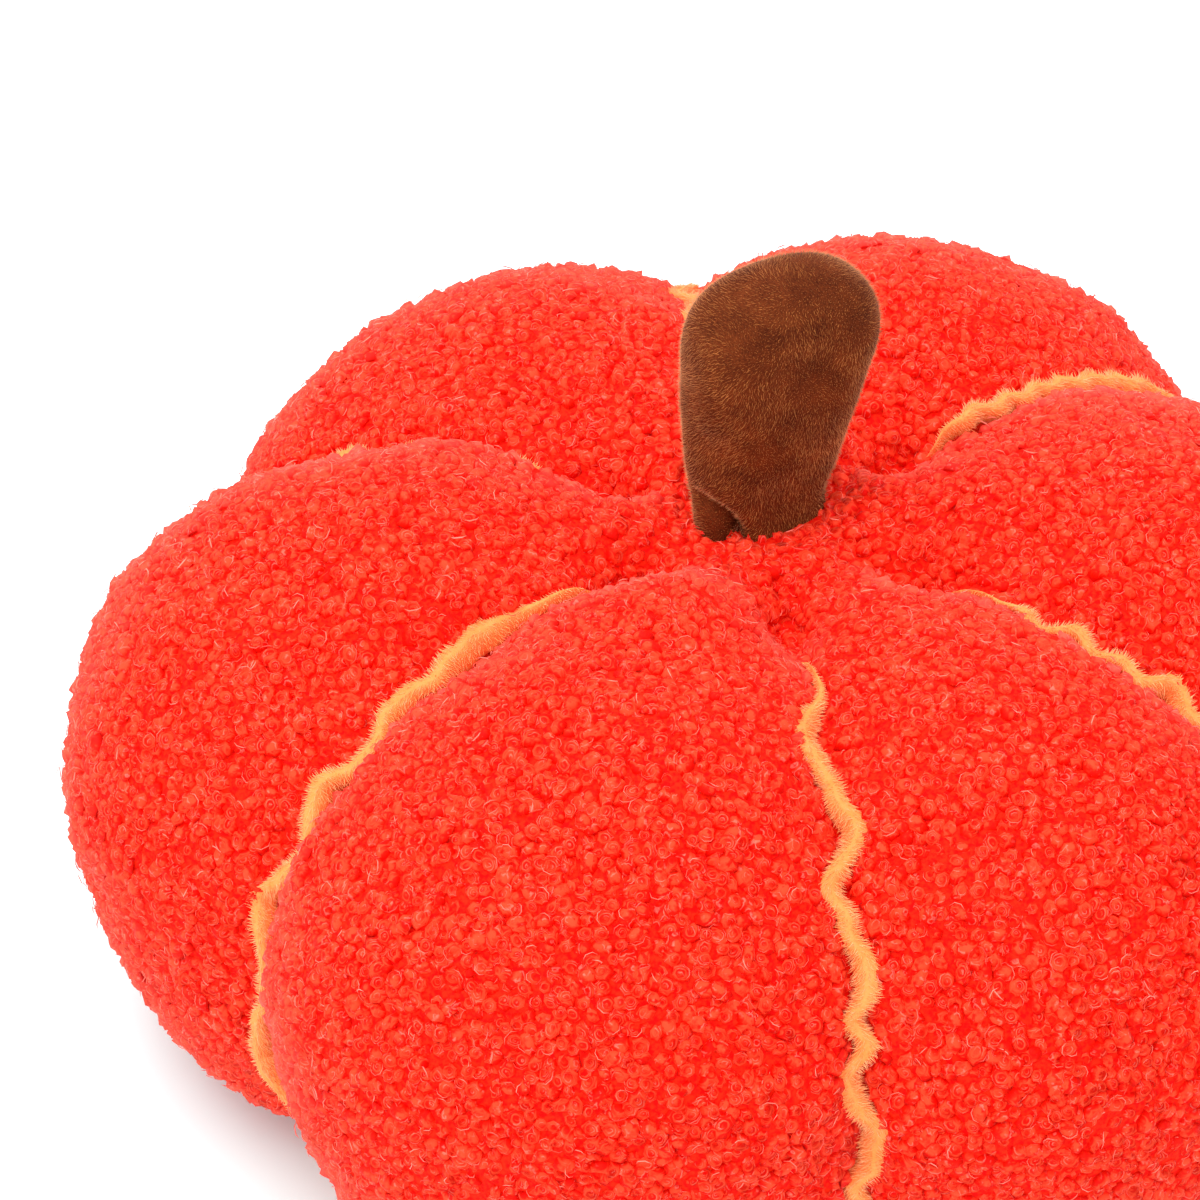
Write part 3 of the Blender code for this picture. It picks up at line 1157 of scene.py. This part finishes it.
@dataclass
class SeamTrim:
    """One ruffled plush strip, standing in its seam with a soft brushed pile."""

    seam: Seam
    sink: float = 0.0
    ruffle: float = 0.35
    tail_start: float = 0.058
    tail: float = 0.015
    tail_sink: float = 0.0028
    tail_blend: float = 0.6
    tail_flatness: float = 0.92
    tail_thinning: float = 0.5
    foot_rise: float = 0.0
    foot_top: float = 0.11
    foot_fade: float = 0.04
    crimp: float = 0.0006
    crimp_turns: float = 41.0
    slimming: float = 0.0005
    drift: float = 0.0
    free_depth: float = 0.0056
    # The pile parts along the crest and lies to both sides, in swirls
    pile: Pile = Pile(spacing=0.00060, length=0.0025, radius=0.00018, seed=21)
    upright: float = 0.55
    parting: float = 0.8
    swirls: float = 23.0
    sectors: int = 160

    def build(self, plush: bpy.types.Material) -> Object:
        """Build the strip with its pile.

        Args:
            plush: the material.

        Returns:
            The trim as one piece.
        """
        strip = copy_of_node(self.seam.node, self.seam.node + "_strip")
        apply_modifier(strip, "SUBSURF", levels=1, render_levels=1)
        apply_modifier(strip, "DISPLACE", strength=-self.slimming, mid_level=0.0)
        self.follow(strip)
        self.exaggerate(strip)
        self.follow(strip)
        self.settle(strip)
        self.core = read_points(strip)
        piece = joined([strip, self.build_pile(strip)],
                       self.seam.node.replace("trim", "ruffle"), plush)
        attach(piece, "root")
        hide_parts(self.seam.node)
        return piece

    def exaggerate(self, strip: Object) -> None:
        """Swing the free edge of the ruffle out a little further than the solid does.

        Args:
            strip: the bare strip.
        """
        places = read_points(strip)
        share = self.ruffle * (1.0 - 0.9 * self.tail_share(places))
        crimp = self.crimp * np.sin(self.crimp_turns * self.turns(places))
        crimp *= 1.0 - self.tail_share(places)
        wide = self.middle_at(places) * share + crimp
        write_points(strip, places + np.outer(wide, self.seam.side))

    def follow(self, strip: Object) -> None:
        """Find the strip's middle line and crest, in narrow sectors round the lobe's section.

        Args:
            strip: the bare strip.
        """
        own = read_points(strip)
        turns = self.turns(own)
        edges = np.linspace(turns.min(), turns.max(), self.sectors + 1)
        number = np.clip(np.digitize(turns, edges) - 1, 0, self.sectors - 1)
        count = np.bincount(number, minlength=self.sectors)
        filled = count > 0
        crest = np.zeros(self.sectors)
        np.maximum.at(crest, number, self.rise(own))
        summed = np.bincount(number, self.seam.across(own), self.sectors)
        padded = np.pad(summed[filled] / count[filled], 1, mode="edge")
        self.turned = (edges[1:] + edges[:-1])[filled] / 2
        self.middle = 0.25 * padded[:-2] + 0.5 * padded[1:-1] + 0.25 * padded[2:]
        self.crest = crest[filled]

    def turns(self, places: np.ndarray) -> np.ndarray:
        """Return how far round its lobe's section each place lies, in radians."""
        reach = np.hypot(places[:, 0], places[:, 1])
        return np.arctan2(places[:, 2] - SECTION_MIDDLE, reach - SECTION_MIDDLE)

    def rise(self, places: np.ndarray) -> np.ndarray:
        """Return how far each place lies from the middle of its lobe's section."""
        reach = np.hypot(places[:, 0], places[:, 1])
        return np.hypot(places[:, 2] - SECTION_MIDDLE, reach - SECTION_MIDDLE)

    def middle_at(self, places: np.ndarray) -> np.ndarray:
        """Return how far across the seam the strip's middle lies beside each place."""
        return np.interp(self.turns(places), self.turned, self.middle)

    def depth_at(self, places: np.ndarray) -> np.ndarray:
        """Return how far each place lies below the strip's crest."""
        return np.interp(self.turns(places), self.turned, self.crest) - self.rise(places)

    def settle(self, strip: Object) -> None:
        """Sink the strip towards its seam, most of all at the tail near the stem.

        Args:
            strip: the bare strip.
        """
        places = read_points(strip)
        reach = np.hypot(places[:, 0], places[:, 1])
        out = np.outer(reach - SECTION_MIDDLE, self.seam.ahead)
        out[:, 2] = places[:, 2] - SECTION_MIDDLE
        fade = self.tail_share(places)
        off = self.seam.across(places) - self.middle_at(places)
        places -= np.outer(off * self.tail_flatness * fade - self.drift, self.seam.side)
        low = np.clip((self.foot_top - places[:, 2]) / self.foot_fade, 0.0, 1.0)
        depth = self.sink + self.tail_sink * fade - self.foot_rise * low
        write_points(strip, swelled(places - unit(out) * depth[:, None]))

    def tail_share(self, places: np.ndarray) -> np.ndarray:
        """Work out how far places lie into the thin tail near the stem.

        Args:
            places: places as rows.

        Returns:
            A share from 0 to 1 for each place.
        """
        reach = np.hypot(places[:, 0], places[:, 1])
        share = np.clip(1.0 - (reach - self.tail_start) / self.tail, 0.0, 1.0)
        return np.where(places[:, 2] > SECTION_MIDDLE, share ** self.tail_blend, 0.0)

    def build_pile(self, strip: Object) -> Object:
        """Stand short fibres all over the strip's free part.

        Args:
            strip: the bare strip.

        Returns:
            The pile as one piece.
        """
        rng = np.random.default_rng(200 + list(Seam).index(self.seam))
        places, outward = Scatter(self.pile.spacing, self.pile.seed).over(strip)
        self.follow(strip)
        free = self.depth_at(places) < self.free_depth
        places = places[free]
        outward = outward[free]
        off = self.seam.across(places) - self.middle_at(places)
        turns = self.turns(places)[:, None]
        along = np.sin(turns) * self.seam.ahead - np.cos(turns) * UP
        swirl = 0.5 + 0.6 * np.sin(self.swirls * turns)
        parted = self.parting * np.sign(off)[:, None] * self.seam.side
        lying = unit(self.upright * outward + parted + swirl * along)
        shares = 1.0 - self.tail_thinning * self.tail_share(places)
        return self.pile.stand(places, outward, lying, shares, rng, self.seam.node + "_pile")


def joined(pieces: list[Object], name: str, cloth: bpy.types.Material) -> Object:
    """Join pieces into one object of one cloth.

    Args:
        pieces: the objects, all at the origin.
        name: the new object's name.
        cloth: its material.

    Returns:
        The joined object.
    """
    bpy.ops.object.select_all(action="DESELECT")
    for piece in pieces:
        piece.select_set(True)
    bpy.context.view_layer.objects.active = pieces[0]
    bpy.ops.object.join()
    pieces[0].name = name
    pieces[0].data.name = name
    pieces[0].data.materials.clear()
    pieces[0].data.materials.append(cloth)
    return pieces[0]


@dataclass
class Stem:
    """The stuffed stem: puffed, dented by its stuffing and tucked in at the foot."""

    node: str = "stem"
    puff: Puff = Puff(voxel=0.0022, pressure=3.0, cap=0.0012)
    shrink: float = 0.0009
    sewn_height: float = 0.004
    pile: Pile = Pile(spacing=0.00058, length=0.0017, radius=0.00010, seed=31)
    nap: float = 0.8
    dents: tuple[Dent, ...] = (
        Dent((0.014, -0.012, 0.226), 0.012, 0.0032),
        Dent((-0.018, -0.015, 0.196), 0.011, 0.0028),
        Dent((0.004, -0.010, 0.178), 0.010, 0.0016),
        Dent((0.021, 0.006, 0.172), 0.005, 0.0020),
        Dent((-0.006, 0.024, 0.205), 0.012, 0.0020),
        Dent((-0.020, -0.002, 0.238), 0.013, -0.0030),
        Dent((0.002, 0.004, 0.250), 0.020, -0.0016),
        Dent((-0.020, -0.007, 0.164), 0.009, -0.0022),
    )
    # A rounded tuck is folded in at the foot, on the left of the front, round this place
    ear: tuple[float, float, float] = (-0.0200, -0.0070, 0.1640)
    ear_reach: float = 0.0125
    tuck_depth: float = 0.0075
    tuck_half: float = 0.0025
    tuck_left: float = -0.0215
    tuck_fade: float = 0.008
    # The nap wanders in waves, given in radians a metre along x, y and z
    nap_waves: tuple[tuple[float, float, float], ...] = ((150.0, 90.0, 190.0),
                                                         (-210.0, 60.0, 120.0))

    def build(self) -> Object:
        """Build the stem with its pile.

        Returns:
            The stem as one piece.
        """
        skin = copy_of_node(self.node, "stem_skin")
        apply_modifier(skin, "DISPLACE", strength=-self.shrink, mid_level=0.0)
        apply_modifier(skin, "REMESH", mode="VOXEL", voxel_size=self.puff.voxel)
        bpy.ops.object.shade_smooth()
        places = read_points(skin)
        low = places[:, 2].min()
        self.puff.fill(skin, np.clip(1.5 - (places[:, 2] - low) / self.sewn_height, 0.0, 1.0))
        self.dent(skin)
        self.core = read_points(skin)
        piece = joined([skin, self.build_pile(skin)], "plush_stem", STEM_PLUSH.material())
        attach(piece, "root")
        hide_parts(self.node)
        return piece

    def dent(self, skin: Object) -> None:
        """Press the soft hollows into the stem.

        Args:
            skin: the bare stem.
        """
        places = read_points(skin)
        outward = read_normals(skin)
        for dent in self.dents:
            away = np.linalg.norm(places - dent.place, axis=1) / dent.radius
            places -= outward * (dent.depth * np.exp(-away ** 2))[:, None]
        away = np.linalg.norm(places - self.ear, axis=1) - self.ear_reach
        inside = np.clip((places[:, 0] - self.tuck_left) / self.tuck_fade, 0.0, 1.0)
        folded = self.tuck_depth * inside * np.exp(-(away / self.tuck_half) ** 2)
        places -= outward * folded[:, None]
        write_points(skin, places)

    def build_pile(self, skin: Object) -> Object:
        """Stand short fibres all over the stem.

        Args:
            skin: the bare stem.

        Returns:
            The pile as one piece.
        """
        rng = np.random.default_rng(300)
        places, outward = Scatter(self.pile.spacing, self.pile.seed).over(skin)
        shown = outward[:, 2] > -0.9
        places = places[shown]
        outward = outward[shown]
        lying = unit(outward + self.nap * self.brushed(places, outward))
        return self.pile.stand(places, outward, lying, 1.0, rng, "stem_pile")

    def brushed(self, places: np.ndarray, outward: np.ndarray) -> np.ndarray:
        """Return the way the nap lies: round the stem and down, in wandering patches.

        Args:
            places: the roots of the fibres.
            outward: the skin's directions there.

        Returns:
            One direction along the skin for each fibre.
        """
        around = unit(np.cross(outward, UP))
        down = np.cross(around, outward) * -1.0
        first, second = (places @ wave for wave in self.nap_waves)
        swing = 0.9 * np.sin(first) + 0.7 * np.sin(second + 1.0)
        return around * np.cos(swing)[:, None] + down * (np.sin(swing) + 0.4)[:, None]


@dataclass
class Studio:
    """The pale floor, the soft lights and the photograph's camera."""

    camera_place: tuple[float, float, float] = (-0.04595, -1.01200, 0.92989)
    camera_pitch_deg: float = 38.12
    focal_px: float = 4525.4
    image_px: float = 1200.0
    sensor_mm: float = 36.0
    world_strength: float = 1.42

    def build(self) -> None:
        """Build the whole studio."""
        self.build_camera()
        self.build_floor()
        self.build_lights()
        bpy.context.scene.view_settings.view_transform = "Standard"

    def build_camera(self) -> None:
        """Stand the camera where the photograph was taken from."""
        camera = bpy.data.objects.new("camera", bpy.data.cameras.new("camera"))
        camera.data.sensor_width = self.sensor_mm
        camera.data.lens = self.focal_px * self.sensor_mm / self.image_px
        camera.location = self.camera_place
        camera.rotation_euler = (math.radians(90.0 - self.camera_pitch_deg), 0.0, 0.0)
        bpy.context.scene.collection.objects.link(camera)
        bpy.context.scene.camera = camera

    def build_floor(self) -> None:
        """Lay a plain pale floor under the cushion."""
        bpy.ops.object.select_all(action="DESELECT")
        bpy.ops.mesh.primitive_plane_add(size=12.0, location=(0.0, 0.0, -0.0002))
        floor = bpy.context.object
        floor.name = "floor"
        graph = Graph("pale_floor")
        # A cool white, which makes up for the red light thrown back by the cushion
        colour = graph.ramp(graph.noise(0.5, 2.0), (0.3, "#DAF9FA"), (0.7, "#E2FDFE"))
        floor.data.materials.append(graph.finished(colour, 0.0, {
            "Roughness": 0.9, "Specular IOR Level": 0.1}))

    def build_lights(self) -> None:
        """Hang a large soft key light and a fill, in an even white surround."""
        world = bpy.data.worlds.new("surround")
        world.use_nodes = True
        surround = world.node_tree.nodes["Background"]
        surround.inputs["Color"].default_value = srgb("#FFFFFF")
        surround.inputs["Strength"].default_value = self.world_strength
        bpy.context.scene.world = world
        for name, place, size, power in (
            ("key", (-0.5, -0.1, 1.9), 1.6, 25.0),
            ("low", (-1.3, -1.3, 0.45), 1.4, 6.0),
        ):
            light = bpy.data.lights.new(name, "AREA")
            light.size = size
            light.energy = power
            lamp = bpy.data.objects.new(name, light)
            lamp.location = place
            aim = Vector((0.0, 0.0, 0.1)) - Vector(place)
            lamp.rotation_euler = aim.to_track_quat("-Z", "Y").to_euler()
            bpy.context.scene.collection.objects.link(lamp)


def points_tree(places: np.ndarray) -> KDTree:
    """Make a search tree over places.

    Args:
        places: places as rows.

    Returns:
        The tree, ready for use.
    """
    tree = KDTree(len(places))
    for index, place in enumerate(places):
        tree.insert(place, index)
    tree.balance()
    return tree


def report(pieces: list[Object]) -> None:
    """Log the name and the triangles of each piece.

    Args:
        pieces: the finished pieces.
    """
    for piece in pieces:
        triangles = sum(len(face.vertices) - 2 for face in piece.data.polygons)
        LOG.info("%s: %d triangles", piece.name, triangles)


def main() -> None:
    """Build the studio, then the cushion piece by piece."""
    logging.basicConfig(level=logging.INFO, format="%(message)s")
    Studio().build()
    plush = TRIM_PLUSH.material()
    settings = {
        Seam.FRONT_LEFT: {"sink": 0.0020, "ruffle": 1.0, "tail_start": 0.060, "tail": 0.030,
                          "tail_sink": 0.0030, "foot_rise": 0.0036},
        Seam.BACK: {"sink": 0.0020, "drift": 0.0030},
        Seam.FRONT: {"sink": 0.0020, "ruffle": 0.8, "tail_start": 0.069, "tail": 0.020,
                     "tail_sink": 0.0048},
        Seam.BACK_LEFT: {"sink": 0.0062},
        Seam.BACK_RIGHT: {"sink": 0.0024, "crimp": 0.0016},
        Seam.FRONT_RIGHT: {"sink": 0.0026, "tail_start": 0.070, "tail_sink": 0.0012,
                           "crimp": 0.0026, "crimp_turns": 31.0},
    }
    sewn = [SeamTrim(seam, **settings[seam]) for seam in Seam]
    pieces = [trim.build(plush) for trim in sewn]
    stem = Stem()
    pieces.append(stem.build())
    cores = np.concatenate([part.core for part in [*sewn, stem]])
    pieces += CushionBody().build(sewn, points_tree(cores))
    report(pieces)


if __name__ == "__main__":
    main()
